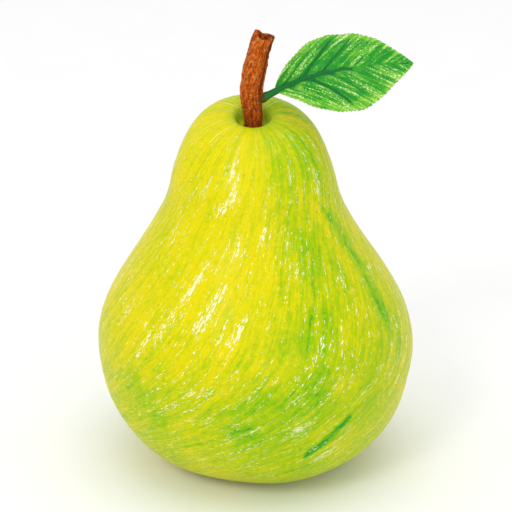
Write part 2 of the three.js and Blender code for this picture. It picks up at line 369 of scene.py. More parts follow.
def makeStudio():
    # the lens is the sensor's width times the distance over the width of the view
    scene = bpy.context.scene
    camera = bpy.data.objects.new("camera", bpy.data.cameras.new("camera"))
    camera.data.lens = camera.data.sensor_width * studio["distance"] / studio["frameWidth"]
    camera.data.clip_start, camera.data.clip_end = studio["clipFrom"] * mm, studio["clipTo"] * mm
    lift = math.radians(studio["elevation"])
    back = Vector((0, -math.cos(lift), math.sin(lift))) * studio["distance"]
    aimed(camera, Vector(studio["aim"]) + back, studio["aim"])
    scene.collection.objects.link(camera)
    scene.camera = camera

    world = bpy.data.worlds.new("studio")
    world.use_nodes = True
    sky = world.node_tree.nodes["Background"]
    sky.inputs["Color"].default_value = (1, 1, 1, 1)
    sky.inputs["Strength"].default_value = studio["worldLight"]
    scene.world = world
    scene.view_settings.view_transform = "Standard"
    scene.view_settings.look = "None"

    for name, lamp in studio["lamps"].items():
        light = bpy.data.lights.new(name, "AREA")
        light.shape, light.size, light.energy = "DISK", lamp["size"] * mm, lamp["watts"]
        holder = bpy.data.objects.new(name, light)
        aimed(holder, lamp["at"], studio["aim"])
        scene.collection.objects.link(holder)

    angles = turns(studio["floorCorners"])
    ring = stacked(*polar(1, angles), 0 * angles) * studio["floorRadius"] * mm
    mesh = bpy.data.meshes.new("floor")
    mesh.from_pydata(ring.tolist(), [], [list(range(len(ring)))])
    paper = Finish("paleFloor", studio, Roughness=0.9, Specular_IOR_Level=0.1)
    grain = paper.noise(paper.place(), studio["floorGrain"], detail=3)
    mesh.materials.append(paper.feed(Base_Color=paper.blend("floorColour", "floorShade", grain)))
    floor = bpy.data.objects.new("floor", mesh)
    floor.location.z = -studio["floorDrop"] * mm
    scene.collection.objects.link(floor)


makeStudio()
print("studio ready")


# Fruit

stemRoot = 5.5  # length of the stem that is hidden in the fruit
fruitLow, fruitHigh = nodeBox("fruit")
dimple = nodeBox("stem")[0][2] + stemRoot  # height of the dimple that the stem rises from

pear = {
    "cavityDepth": 2.6,
    "neckRadius": 20.3,
    "bellyHeight": 32.5,
    "crownHeight": 16.6,
    "neckSlope": 0.175,
    "lipRadius": 5.0,
    "basinRadius": 9,
    "footRadius": 11.5,
    "basinDepth": 6,
    "basinPower": 2.5,
    "underside": 0.62, "lowerBelly": 0.52, "upperBelly": 0.36, "neck": 0.355, "shoulder": 0.49, "crown": 0.69,
    "ribs": 0.012, "ribReach": 30, "oval": 0.006,
    "crownTilt": 0.3, "crownTiltReach": 24,
    "neckLean": -0.6, "neckLeanPlace": (40, 35),  # sideways growth, towards +X
    "baseLean": 1.1, "baseLeanPlace": (8, 7),
    "collarRadius": 2.05,  # where the flesh closes on the stem
    "collarRise": 0.35, "collarWidth": 0.9, "collarDepth": 1.0, "socketGap": 0.3, "socketCorner": 0.1,
    "edgeSoftness": 0.5,  # how far corners of the outline are rounded
    "curveSteps": 160, "fineSteps": 2400, "rows": 238, "columns": 384,
    "socketRows": 26, "socketEase": 8,  # rows at the end that lie in the socket and stay smooth
    "waves": ((0.17, 46, 3), (0.07, 15, 5), (0.0175, 3.4, 8)),  # depth, wavelength and seed of the unevenness
    "calmHeight": 5,
    "markRows": 0.12,  # share of the rows, from the basin, that carry no marks
    # the first ring is painted shade in the dimple round the stem
    "dimpleShadeRing": (4.0, 1.7), "russetRing": (1.5, 1.3), "russetBasin": 0.75, "russetMiddle": 2.5,
    "twist": 0.0125, "lowTwist": 0.05, "lowTwistReach": 42,  # turn of the streaks, radians per millimetre
}
pear["height"] = dimple + pear["cavityDepth"]
pear["bellyRadius"] = (fruitHigh[0] - fruitLow[0]) / 2 / (1 + pear["oval"])

# Marks in the skin, each from one place to another: angle from the front in degrees and height, twice, then
# half width and strength. A green mark of negative strength is a yellow one. The last rows are on the back.
greenMarks = [
    (19, 15.5, 36, 25, 1.2, 0.9), (33, 23.5, 48, 29, 2.4, 0.22), (53, 73, 57, 68, 0.7, 0.5),
    (59, 70, 65, 57, 2.2, 0.36), (65, 59, 61, 43, 2.8, 0.3), (63, 58, 60, 47, 0.7, 0.3),
    (68, 46, 62, 32, 3.0, 0.2), (62, 90, 60, 84, 1.8, 0.3), (60, 84, 57, 76, 1.5, 0.3),
    (48, 88, 42, 80, 2.0, 0.22), (25, 68, 34, 64, 2.4, 0.25), (33, 64, 28, 56, 2.8, 0.3),
    (12, 45, 31, 51, 4.0, 0.24), (-9, 25, 1, 22, 3.2, 0.36), (-1, 31, 6, 35, 2.4, 0.3),
    (-46, 33, -38, 25, 3.6, 0.24), (8, 30, 26, 38, 3.0, 0.2), (43, 77, 51, 66, 1.6, -0.3),
    (51, 66, 52, 57, 1.8, -0.28), (30, 33, 44, 38, 2.6, -0.25), (-30, 42, -8, 46, 5.0, -0.15),
    (-118, 28, -100, 52, 2.6, 0.3), (-150, 18, -128, 30, 3.2, 0.35), (150, 44, 166, 66, 2.4, 0.35),
    (105, 20, 132, 34, 3.4, 0.35), (170, 24, 190, 36, 2.6, 0.3), (128, 62, 140, 80, 2.0, 0.35),
]
# Pale marks: clusters of pale flecks; those on the front left, from neck to belly, are also a painted highlight
paleFleckAndHighlightMarks = [
    (-18, 89, -16, 83, 1.7, 1.0), (-13, 85, -21, 74, 1.1, 0.8), (-24, 78, -26, 72, 1.2, 0.7),
    (-14, 81, -19, 75, 1.0, 0.6), (-38, 77, -34, 84, 1.4, 0.5), (-41, 43, -29, 58, 1.7, 0.85),
    (-32, 53, -22, 64, 1.4, 0.7), (-24, 47, -14, 57, 2.0, 0.95), (-12, 63, -6, 68, 1.8, 0.7),
    (-13, 44, -3, 52, 2.0, 0.85), (4, 64, 9, 70, 1.4, 0.6), (17, 59, 21, 66, 2.0, 0.6),
    (-27, 33, -12, 35, 1.8, 0.65), (-48, 38, -44, 46, 1.6, 0.5), (14, 36, 26, 44, 1.6, 0.5),
    (10, 22, 22, 27, 1.5, 0.6), (56, 84, 52, 75, 0.8, 0.8), (60, 78, 58, 70, 0.7, 0.6),
    (22, 13, 34, 17, 1.1, 0.6), (40, 30, 50, 36, 1.5, 0.45), (-60, 60, -52, 68, 1.4, 0.45),
    (-66, 40, -60, 50, 1.4, 0.5), (-110, 50, -96, 66, 1.8, 0.7), (-150, 40, -136, 58, 2.0, 0.8),
    (110, 40, 124, 56, 1.8, 0.6), (160, 70, 170, 82, 1.4, 0.7), (-176, 30, -160, 44, 1.8, 0.6),
    (84, 56, 92, 68, 1.4, 0.5),
]

# Where the skin is green, partly its own colour and partly painted shade: angles from the front and heights, each
# with how far its edge or its bell reaches
greenPlaces = {
    "sides": (86, 14), "right": (2, 24), "behind": (-150, 34), "rightLow": (40, -14),
    "low": (46, -18), "lowFront": (3, 22), "lowRight": (20, 20), "base": (10, -6),
    "patchRight": (16, 16), "patchRightHeight": (45, 10), "patchLeft": (-10, 22), "patchLeftHeight": (40, 14),
}


def basinCeiling(radius):
    # height of the basin: its depth times (1 - share to the power) to the inverse power
    share = np.clip(radius / pear["basinRadius"], 0, 1)
    return pear["basinDepth"] * (1 - share ** pear["basinPower"]) ** (1 / pear["basinPower"])


def fruitOutline():
    # basin, resting ring, underside, flank, crown, cavity, collar and socket as curves of (radius, height),
    # read at even steps of length and softened by a bell-shaped average
    p = pear
    t = np.linspace(0, 1, p["curveSteps"])
    neckHeight = p["height"] - p["crownHeight"]
    waist = neckHeight - p["bellyHeight"]
    neckReach, shoulderReach = waist * p["neck"], p["crownHeight"] * p["shoulder"]
    basinRadius = p["basinRadius"] * np.sin(t * np.pi / 2)
    basin = stacked(basinRadius, basinCeiling(basinRadius))
    foot, belly = (p["footRadius"], 0), (p["bellyRadius"], p["bellyHeight"])
    neck, lip = (p["neckRadius"], neckHeight), (p["lipRadius"], p["height"])
    inner, gap, corner, socketEnd = p["collarRadius"], p["socketGap"], p["socketCorner"], dimple - stemRoot
    rim, collar = (inner + p["collarWidth"], dimple), (inner + corner, dimple + p["collarRise"])
    pieces = [
        basin,
        cubic((p["basinRadius"], 0), (p["basinRadius"], 0), foot, foot, t),
        cubic(foot, (mix(foot[0], belly[0], p["underside"]), 0),
              (belly[0], belly[1] * (1 - p["lowerBelly"])), belly, t),
        cubic(belly, (belly[0], belly[1] + waist * p["upperBelly"]),
              (neck[0] + neckReach * p["neckSlope"], neckHeight - neckReach), neck, t),
        cubic(neck, (neck[0] - shoulderReach * p["neckSlope"], neckHeight + shoulderReach),
              (mix(lip[0], neck[0], p["crown"]), p["height"]), lip, t),
        cubic(lip, (mix(lip[0], rim[0], 0.5), p["height"]), (mix(lip[0], rim[0], 0.6), dimple), rim, t),
        cubic(rim, (rim[0] - 0.4, dimple), (collar[0] + 0.4, collar[1]), collar, t),
        np.array([(inner, dimple - p["collarDepth"]), (inner + gap, socketEnd),
                  (inner + gap - corner, socketEnd - gap), (0, socketEnd - gap)]),
    ]
    path = np.concatenate(pieces)
    length = np.concatenate([[0], np.cumsum(np.linalg.norm(np.diff(path, axis=0), axis=1))])
    distinct = np.append(np.diff(length) > 1e-6, True)
    path, length = path[distinct], length[distinct]
    fine = np.linspace(0, length[-1], p["fineSteps"])
    path = stacked(*(np.interp(fine, length, line) for line in path.T))
    reach = p["edgeSoftness"] / (fine[1] - fine[0])
    kernel = bell(np.arange(-int(3 * reach), int(3 * reach) + 1) / reach)
    pad = len(kernel) // 2
    mirrored = np.concatenate([path[pad:0:-1] * (-1, 1), path, path[-2:-pad - 2:-1] * (-1, 1)])
    path = stacked(*(np.convolve(line, kernel / kernel.sum(), "valid") for line in mirrored.T))
    path[:, 1] -= path[:, 1].min()
    rows = np.linspace(0, len(path) - 1, p["rows"] + 2)
    return stacked(*(np.interp(rows, np.arange(len(path)), line) for line in path.T))


def markField(marks, angle, height, radius, outside):
    # for each mark, its strength times a bell of the distance to its line over its half width, which halves
    # towards the line's ends; angles count in millimetres round the fruit at the height of the mark's middle
    total = np.zeros(np.broadcast(angle, height).shape)
    for angleA, heightA, angleB, heightB, width, strength in marks:
        rise = height - (heightA + heightB) / 2
        scale = radius[np.argmin(np.where(outside, np.abs(rise), np.inf)), 0]
        sideways = wrapTurn(angle - np.radians((angleA + angleB) / 2 - 90)) * scale
        line = np.array([np.radians(angleB - angleA) * scale, heightB - heightA])
        along = np.clip((sideways * line[0] + rise * line[1]) / (line @ line), -0.5, 0.5)
        distance = np.hypot(sideways - along * line[0], rise - along * line[1])
        total = total + strength * bell(distance / (width * (0.5 + 0.5 * np.cos(np.pi * along))))
    return total * outside


def greenWithPaintedShade(front, height):
    # yellow at the front left, green from the middle to the right and low down, yellow again along both
    # sides and under the belly, and half green behind: two shares of green joined as 1 less the product of
    # what they leave, and two patches on top. The green is partly the pear's own colour and partly painted
    # shade, heavier on the right and low down, away from light from the upper left
    g = greenPlaces
    sides = 1 - 0.5 * near(np.abs(front), g["sides"])
    right = 0.48 * past(front, g["right"]) * sides + 0.3 * near(front, g["behind"])
    right = right * (1 - 0.5 * past(height, g["rightLow"]))
    low = past(height, g["low"]) * (0.38 + 0.2 * near(front, g["lowFront"]) - 0.18 * past(front, g["lowRight"]))
    low = low * sides * (1 - 0.5 * past(height, g["base"]))
    patches = 0.16 * near(front, g["patchRight"]) * near(height, g["patchRightHeight"])
    patches = patches + 0.15 * near(front, g["patchLeft"]) * near(height, g["patchLeftHeight"])
    return patches + 1 - 0.97 * (1 - right) * (1 - low)


def fruitShell():
    # the outline turned about the axis and swelled by ribs and an oval, its crown tilted about a level dimple,
    # moved along its normals by waves of three sizes, then shifted sideways by the lean of neck and flank
    p = pear
    outline = fruitOutline()
    angle = turns(p["columns"])[None, :]
    radius, height = outline[1:-1, 0][:, None], outline[1:-1, 1][:, None]
    ribs = p["ribs"] * np.cos(5 * angle) * (1 - smooth(height / p["ribReach"]))
    swell = 1 + ribs + p["oval"] * np.cos(2 * angle)
    x, y = polar(radius * swell, angle)
    inCrown = past(height, (p["height"] - p["crownTiltReach"], p["crownTiltReach"]))
    pastDimple = past(radius, (p["collarRadius"], p["lipRadius"] - p["collarRadius"]))
    z = height + p["crownTilt"] * y * inCrown * pastDimple
    rings = stacked(x, y, z)

    normals = gridNormals(rings, True, rings * (1, 1, 0))
    row = np.arange(p["rows"])[:, None]
    free = smooth(height / p["calmHeight"]) * (1 - past(row, (p["rows"] - p["socketRows"], p["socketEase"])))
    wave = sum(ripple(rings, *each) for each in p["waves"])
    rings = rings + normals * (wave * free)[..., None]

    # streaks climb to the right, ever more level towards the base
    rate = p["twist"] + p["lowTwist"] * (1 - smooth((height - 6) / p["lowTwistReach"]))
    climb = np.diff(height, axis=0, prepend=height[:1])
    turned = angle - np.cumsum(rate * climb, axis=0)
    length = np.cumsum(np.hypot(climb, rate * climb * p["bellyRadius"]), axis=0) / p["bellyRadius"]
    outside = (radius > p["lipRadius"]) & (row > p["rows"] * p["markRows"])
    front = np.degrees(wrapTurn(angle + np.pi / 2))
    fromStem = np.hypot(x, y)
    # painted shade: a green ring in the dimple round the stem's foot
    cavityShade = past(height, (dimple - 1, 2)) * near(fromStem, p["dimpleShadeRing"])
    russet = near(fromStem, p["russetRing"]) * past(height, (dimple - 3, 2))
    inBasin = past(radius, (p["footRadius"] + 3, -8)) * past(height, (12, -8))
    marked, pale = (markField(marks, angle, height, radius, outside) for marks in (greenMarks, paleFleckAndHighlightMarks))
    layers = {
        "grain": stacked(*polar(1, turned), length),
        # green: partly the pear's own colour, partly painted shade on the right and low down
        "green": np.clip(greenWithPaintedShade(front, height) + marked, 0, 1.6),
        # pale: fleck clusters, on the front left also a painted highlight
        "pale": np.clip(pale, 0, 1),
        "cavity": cavityShade,
        "russet": np.clip(russet + inBasin * (p["russetBasin"] + bell(radius / p["russetMiddle"])), 0, 1.4),
    }
    inFlank = smooth(height / 4) * past(radius, (p["footRadius"], 8))
    rings[..., 0] += p["neckLean"] * past(height, p["neckLeanPlace"])
    rings[..., 0] += p["baseLean"] * near(height, p["baseLeanPlace"]) * inFlank
    return ringShell(rings, layers, [(0, 0, outline[0, 1]), (p["neckLean"], 0, outline[-1, 1])])


skin = {
    "yellow": (226, 213, 3), "straw": (211, 208, 3), "lime": (192, 203, 2), "leafy": (170, 197, 2),
    "green": (142, 190, 3), "deep": (104, 178, 4), "darkest": (40, 154, 20),
    # pale is the colour of the flecks and of the painted highlight they make on the front left
    "olive": (180, 182, 1), "pale": (252, 250, 214), "dot": (150, 150, 20), "russet": (150, 104, 34),
    # cavity is the green of the painted shade in the dimple
    "cavity": (160, 190, 12), "dotSpacing": 3.6,
    # scale of each pattern across the streaks, twice, and along them
    "streaks": (13, 13, 2.4), "threads": (46, 46, 8), "grit": (62, 62, 30), "specks": (80, 80, 34),
    "speckRows": (25, 25, 4.6),
}


def pearSkin():
    # yellow to green with streaks, threads and mottling, the green partly painted shade, then olive grit, a green
    # ring of painted shade in the dimple, pale flecks that also make a painted highlight on the front left, pores
    # and russet
    f = Finish("pearSkin", skin, Coat_Weight=0.05, Coat_Roughness=0.2, Specular_IOR_Level=0.08,
               Subsurface_Weight=0.08, Subsurface_Scale=0.003, Subsurface_Radius=(1.0, 0.8, 0.2))
    place, grain = f.place(), f.layer("grain", vector=True)
    patches = f.noise(place, 62, detail=3, roughness=0.55)
    streaks = f.noise(grain, skin["streaks"], detail=4, roughness=0.6, distortion=0.25)
    threads = f.noise(grain, skin["threads"], detail=3, roughness=0.62, distortion=0.3)
    mottle = f.noise(place, 760, detail=3, roughness=0.7)

    green = f.layer("green") + f.swing(patches, 0.7) + f.swing(streaks, 1.4) + f.swing(threads, 1.2)
    green = green + f.swing(mottle, 1.1)
    green = green * 0.7 + 0.08
    colour = f.ramp(green, yellow=0.02, straw=0.2, lime=0.36, leafy=0.5, green=0.68, deep=0.84, darkest=1.0)
    grit = f.noise(grain, skin["grit"], detail=3, roughness=0.72)
    colour = f.blend(colour, "olive", f.eased(grit, 0.48, 0.7) * 0.45)
    # painted shade in the dimple round the stem, in green
    colour = f.blend(colour, "cavity", f.limited(f.layer("cavity") * (0.5 + streaks)))

    # pale specks lie in broken rows along the streaks, thickest in the pale marks, whose clusters on the front
    # left are a painted highlight
    specks = f.noise(grain, skin["specks"], roughness=0.78)
    rows = f.noise(grain, skin["speckRows"], distortion=0.5)
    likely = f.layer("pale") * 0.17 + f.layer("green") * 0.03
    flecks = f.eased(specks + f.swing(rows, 0.6) + likely, 0.665, 0.745)
    colour = f.blend(colour, "pale", flecks * 0.88)

    # pores: small dots of uneven size
    pores = f.cells(place, 1 / (skin["dotSpacing"] * mm))
    poreSize = f.noise(place, 260, detail=1) * 0.2
    dots = 1 - f.eased(pores, poreSize * 0.5, poreSize)
    colour = f.blend(colour, "dot", dots * 0.35)
    rust = f.eased(f.layer("russet") + f.swing(mottle, 0.9) + f.swing(streaks, 0.3), 0.4, 0.85)
    colour = f.blend(colour, "russet", rust * 0.8)

    rough = 0.4 + f.swing(mottle, 0.16) + flecks * 0.1 + rust * 0.3
    fine = f.noise(place, 900, detail=3, roughness=0.6)
    height = fine * 0.4 + dots * 0.35 - flecks * 0.15 + rust * mottle * 0.8 + threads * 0.3
    return f.feed(Base_Color=colour, Roughness=rough, Normal=f.relief(height, 0.09))


makePiece("pearFruit", [fruitShell()], pearSkin(), ["fruit"])


# Stem

stem = {
    "length": 22.6, "rootRadius": 2.15, "waistRadius": 2.8, "waistHeight": 13, "endRadius": 2.45,
    "endTaper": 8, "endDish": 1.3, "lean": 2.6, "bow": 0.9, "backLean": 0.8,
    "cutSlant": 0.28, "cutReach": 8,
    "rimRound": 0.42,  # half thickness of the rounded rim
    "lobes": 0.5, "frontFall": 0.45,  # the broken end stands up at both sides and is low in front
    "jointHeight": 7.3, "jointRise": 0.3,  # cushion that carries the leaf
    # ripples of the bark: squeeze along the stem, share of the radius, wavelength and seed
    "barkWaves": ((0.35, 0.02, 2.2, 21), (0.5, 0.016, 0.9, 22), (1, 0.008, 0.5, 24), (1, 0.03, 6, 23)),
    "fibreWave": (0.12, 0.9, 25),  # height, wavelength and seed of the broken end
    "rows": 230, "columns": 144, "rimRows": 12, "hollowRows": 14,
}


def stemShift(height):
    # sideways place of the axis: lean times the share squared, less a half sine of bow
    share = np.clip(height / stem["length"], 0, 1)
    bow = stem["bow"] * np.sin(np.pi * share) * smooth(3 * share)
    return pear["neckLean"] + stem["lean"] * share ** 2 - bow, stem["backLean"] * share ** 2


def stemRadius(height):
    # the root's radius swelling to the waist's, then tapering to the end's
    swelling = mix(stem["rootRadius"], stem["waistRadius"], smooth(height / stem["waistHeight"]))
    return mix(swelling, stem["endRadius"], past(height, (stem["length"] - stem["endTaper"], stem["endTaper"])))


def stemShell():
    # circles along the bent axis with wandering ridges and flaking bark, then over a rounded rim and down
    # into the hollow of the broken end
    s = stem
    angle = turns(s["columns"])[None, :]
    side = np.linspace(-stemRoot, s["length"], s["rows"])
    over = np.linspace(0, np.pi, s["rimRows"])[1:]
    inside = np.linspace(0, 1, s["hollowRows"])[1:-1]
    flat = np.zeros(len(side))
    height = np.concatenate([side, np.full(len(over) + len(inside), s["length"])])[:, None]
    innerEdge = s["endRadius"] - 2 * s["rimRound"]
    rimInset = s["rimRound"] * (1 - np.cos(over))
    inset = np.concatenate([flat, rimInset, 2 * s["rimRound"] + innerEdge * inside])[:, None]
    lift = np.concatenate([flat, s["rimRound"] * np.sin(over), -s["endDish"] * smooth(1.6 * inside)])[:, None]
    shrink = 1 - inset / s["endRadius"]
    hollow = np.concatenate([flat, 0.5 * smooth(over / np.pi), 0.5 + 0.5 * smooth(2 * inside)])[:, None]

    wander = 0.5 * np.sin(height / 5.3) + 0.3 * np.sin(height / 2.1 + 2)
    turned = angle + 0.08 * wander
    wrapped = stacked(*polar(s["waistRadius"], turned), height)
    ridges = 0.03 * np.cos(5 * angle + wander) + 0.018 * np.cos(9 * angle - 2 * wander + 1)
    for squeeze, *wave in s["barkWaves"]:
        ridges = ridges + ripple(wrapped * (1, 1, squeeze), *wave)
    calm = smooth((height + 1) / 4)
    radius = stemRadius(height) * (1 + ridges * calm)
    away = wrapTurn(angle + 0.1) * s["waistRadius"]
    joint = bell(away / 1.1) * near(height, (s["jointHeight"], 1.5))
    radius = (radius + s["jointRise"] * joint) * shrink

    nearEnd = past(height, (s["length"] - s["cutReach"], s["cutReach"]))
    rim = past(height, (s["length"] - 3, 3))
    lobes = s["lobes"] * (np.cos(2 * angle + 0.25) - 0.6) + s["frontFall"] * np.sin(angle)
    lobes = lobes + 0.12 * np.cos(5 * angle + 1) + 0.07 * np.cos(9 * angle)
    x, y = polar(radius, angle)
    fibres = ripple(stacked(x, y, 0 * x), *s["fibreWave"]) * hollow
    z = height + rim * lobes * shrink ** 0.7 + lift - s["cutSlant"] * x * nearEnd + fibres
    shiftX, shiftY = stemShift(height)
    rings = stacked(x + shiftX, y + shiftY, z + dimple)
    layers = {
        # painted shade: low darkens the stem towards the root, line darkens a strip down its front right side
        "low": 1 - past(height, (-0.5, 11)),
        "line": bell(wrapTurn(angle + 0.75 - 0.02 * height) / 0.22) * past(height, (5, 3)),
        "joint": bell(away / 1.2) * near(height, (s["jointHeight"] - 0.5, 1.5)),
        "hollow": hollow,
        "bark": wrapped / s["waistRadius"],
    }
    return ringShell(rings, layers)


bark = {
    "dark": (104, 38, 2), "brown": (166, 70, 2), "orange": (212, 104, 6), "light": (232, 156, 74),
    "joint": (70, 84, 12), "hollow": (92, 34, 4), "fibre": (236, 190, 136),
    "grain": (5.5, 5.5, 1.5), "fibres": (17, 17, 5),
}


def stemBark():
    # brown to orange along the fibres, darkened by painted shade towards the root and along a line down the front
    # right, with pale flakes, a dark hollow end and a green joint at the leaf
    f = Finish("stemBark", bark, Specular_IOR_Level=0.12)
    place, around = f.place(), f.layer("bark", vector=True)
    grain = f.noise(around, bark["grain"], detail=4, roughness=0.65, distortion=0.5)
    fibres = f.noise(around, bark["fibres"], detail=3, roughness=0.65, distortion=0.4)
    mottle = f.noise(place, 1300, detail=3, roughness=0.7)

    tone = 0.5 + f.swing(grain, 1.1) + f.swing(fibres, 0.9) + f.swing(mottle, 0.8)
    # painted shade towards the root and down the front right side, where there are also fewer flakes
    tone = tone - f.layer("low") * 0.18 - f.layer("line") * 0.3
    colour = f.ramp(tone, dark=0.2, brown=0.42, orange=0.62, light=0.92)
    flakes = f.eased(fibres * 0.6 + mottle * 0.5 - f.layer("low") * 0.05 - f.layer("line") * 0.1, 0.6, 0.68)
    colour = f.blend(colour, "fibre", flakes * 0.7)
    inside = f.layer("hollow")
    end = f.blend("hollow", "orange", f.eased(mottle, 0.45, 0.62))
    colour = f.blend(colour, end, inside)
    colour = f.blend(colour, "joint", f.limited(f.layer("joint") * (0.8 + grain * 0.5)))
    rough = 0.66 + f.swing(mottle, 0.3) + inside * 0.15
    height = grain * 0.5 + fibres * 0.6 + mottle * 0.4 + flakes * 0.2
    return f.feed(Base_Color=colour, Roughness=rough, Normal=f.relief(height, 0.3))


makePiece("pearStem", [stemShell()], stemBark(), ["stem"])


# Leaf

leaf = {
    "launch": 31, "reach": 35.6, "rise": 9.3, "forward": 1.6, "stalkShare": 0.08, "tilt": 43,
    "fold": 0.2, "curl": 0.024, "stalkRadius": 0.9, "tipRadius": 0.2,
    "farHalf": {"width": 10.7, "widestPlace": 0.95, "baseBluntness": 0.64, "tipBluntness": 0.9},
    "nearHalf": {"width": 11.3, "widestPlace": 1.12, "baseBluntness": 0.88, "tipBluntness": 0.88},
    "thickness": 0.34, "edgeThickness": 0.16,
    "teeth": 34, "toothDepth": 0.3, "wave": 0.42, "tipDroop": 0.5,
    "veinSpacing": 0.152, "veinAngle": 39, "veinBend": 0.026,
    # strength of each side vein from the stalk to the tip, on the half away from the viewer and the near one
    "farVeins": (0.5, 1.0, 0.85, 0.5, 0.38, 0.3, 0.2), "nearVeins": (0.45, 0.95, 0.6, 0.5, 0.35, 0.3, 0.2),
    "midribGroove": 0.2, "veinGroove": 0.12, "midribRidge": 0.25, "veinRidge": 0.15, "quilting": 0.15,
    "farStart": 0.28, "nearStart": 0.66,  # place of the first side vein, in spaces between veins
    "margin": 0.12, "least": 0.12,  # widening beyond the outline; least thickness
    "grooveWidth": 0.3, "veinWidth": 0.68, "spineBase": 0.85, "spineTip": 0.2, "spineSpread": 1.35,
    "strokeSlope": 0.81, "farStrokes": 9.0,  # slant of the strokes, and how far apart those of the halves lie
    "blistering": (0.025, 1.4, 31),  # height, wavelength and seed of the small bumps
    "rows": 320, "columns": 101, "stalkColumns": 28, "stalkFrom": -0.034, "stalkTo": 0.97,
}


def midrib(u):
    # a cubic curve that leaves the stem at the launch angle and levels out towards the tip
    rise = math.tan(math.radians(leaf["launch"]))
    offsets = np.array([
        (0, 0, 0),
        (0.3 * leaf["reach"], 0, 0.3 * leaf["reach"] * rise),
        (0.62 * leaf["reach"], -0.5 * leaf["forward"], 0.88 * leaf["rise"]),
        (leaf["reach"], -leaf["forward"], leaf["rise"]),
    ])
    return cubic(*(offsets + leafRoot()), u)


def leafRoot():
    # the side of the stem at the leaf's height, where the cushion meets the stalk
    shiftX, shiftY = stemShift(stem["jointHeight"])
    stalkLean = leaf["stalkRadius"] * math.sin(math.radians(leaf["launch"]))
    side = stemRadius(stem["jointHeight"]) + stem["jointRise"] + stalkLean
    return np.array([shiftX + side, shiftY, dimple + stem["jointHeight"]])


def leafFrame():
    # unit vectors along the leaf, across it and out of its upper face
    tilt = math.radians(leaf["tilt"])
    axis = np.array([leaf["reach"], -leaf["forward"], leaf["rise"]])
    axis = axis / np.linalg.norm(axis)
    across = np.array([0, math.cos(tilt), math.sin(tilt)])
    across = across - axis * (across @ axis)
    across = across / np.linalg.norm(across)
    return axis, across, np.cross(axis, across)


def bladeWidth(share, half):
    # half of the blade: the sine of half a turn times a power of the share, raised to a bluntness that
    # changes evenly from the base to the tip, times the width
    bluntness = mix(half["baseBluntness"], half["tipBluntness"], share)
    return half["width"] * np.maximum(np.sin(np.pi * share ** half["widestPlace"]), 0) ** bluntness


def veinFields(along, across, far, length):
    # side veins leave the midrib at even steps and bend towards the tip: how far a point lies from the
    # nearest one, a wave that is 1 on a vein and -1 midway, and that vein's strength
    slant = math.radians(leaf["veinAngle"])
    spacing = length * leaf["veinSpacing"]
    start = along - np.abs(across) / math.tan(slant) + leaf["veinBend"] * across ** 2
    phase = start / spacing - np.where(far, leaf["farStart"], leaf["nearStart"])
    number = np.clip(np.round(phase), 0, len(leaf["farVeins"]) - 1).astype(int)
    strength = np.where(far, np.take(leaf["farVeins"], number), np.take(leaf["nearVeins"], number))
    return np.abs(phase - number) * spacing * math.sin(slant), np.cos(2 * np.pi * phase), strength


def bladeShell():
    # the midrib plus the width across it, toothed at the margin; each half folds up, bends over and waves,
    # the upper face is grooved along the veins and the lower face ridged
    q = leaf
    axis, crossways, up = leafFrame()
    share = np.linspace(0.004, 1, q["rows"])[:, None]
    u = q["stalkShare"] + (1 - q["stalkShare"]) * share
    v = np.linspace(-1, 1, q["columns"])[None, :]
    v = np.sign(v) * np.abs(v) ** 0.9
    far = v > 0
    teeth = ((share * q["teeth"] % 1) ** 1.4 - 0.4) * q["toothDepth"]
    teeth = teeth * smooth(share * 8) * smooth((1 - share) * 9)
    width = np.where(far, bladeWidth(share, q["farHalf"]), bladeWidth(share, q["nearHalf"])) + q["margin"]
    across = v * width + np.sign(v) * teeth * np.abs(v) ** 12
    length = q["reach"] * (1 - q["stalkShare"])
    nearness, between, strength = veinFields(share * length, across, far, length)
    edge = np.abs(v)
    fade = smooth((1 - edge) * 4) * smooth((1 - share) * 8)

    raised = (q["fold"] * np.abs(across) - q["curl"] * across ** 2) * smooth(4 * share)
    phase = 0.15 + 0.3 * far
    waves = np.sin(2 * np.pi * (2.4 * share + phase)) + 0.45 * np.sin(2 * np.pi * (5.7 * share + 1.4 * phase))
    raised = raised + q["wave"] * waves * edge ** 2.5 * smooth(share * 5) * smooth((1 - share) * 4)
    raised = raised - q["quilting"] * between * fade * smooth(np.abs(across) / 2) * mix(0.5, 1, strength)
    raised = raised - q["tipDroop"] * past(share, (0.8, 0.2))
    centre = midrib(u[:, 0])[:, None, :] + crossways * across[..., None] + up * raised[..., None]

    normals = gridNormals(centre, False, up)
    spine = mix(q["spineBase"], q["spineTip"], share ** 0.8)  # half width of the midrib
    midGroove = bell(across / (0.6 * spine)) * smooth(share * 6) * smooth((1 - share) * 5)
    groove = bell(nearness / q["grooveWidth"]) * fade
    thickness = mix(q["edgeThickness"], q["thickness"], smooth((1 - edge) * 4))
    sheet = stacked(share * length, across, 0 * across)
    ground = ripple(sheet, *q["blistering"])
    topLift = thickness / 2 - q["midribGroove"] * midGroove * spine - q["veinGroove"] * groove * strength + ground
    bottomLift = -thickness / 2 - q["veinRidge"] * groove - q["midribRidge"] * midGroove * spine
    top = centre + normals * topLift[..., None]
    bottom = centre + normals * np.minimum(bottomLift, topLift - q["least"])[..., None]

    strokes = share * length - np.abs(across) / q["strokeSlope"]
    topLayers = {
        "sheet": sheet,
        "slant": stacked(strokes, across, far * q["farStrokes"]),
        "midrib": bell(across / (q["spineSpread"] * spine)) * mix(1, 0.35, past(share, (0.4, 0.3))),
        "vein": bell(nearness / (q["veinWidth"] * (1 - 0.45 * edge))) * fade * strength,
        "halo": np.clip(bell(nearness / 1.7) * strength + bell(across / 3) * 0.5, 0, 1),
        "fineVein": np.clip(bell(across / (0.7 * spine + 0.1)) + bell(nearness / 0.24) * fade, 0, 1),
        "edge": edge, "under": 0 * edge, "stalk": 0 * edge,
    }
    return plateShell(top, bottom, topLayers, dict(topLayers, under=1 + 0 * edge))


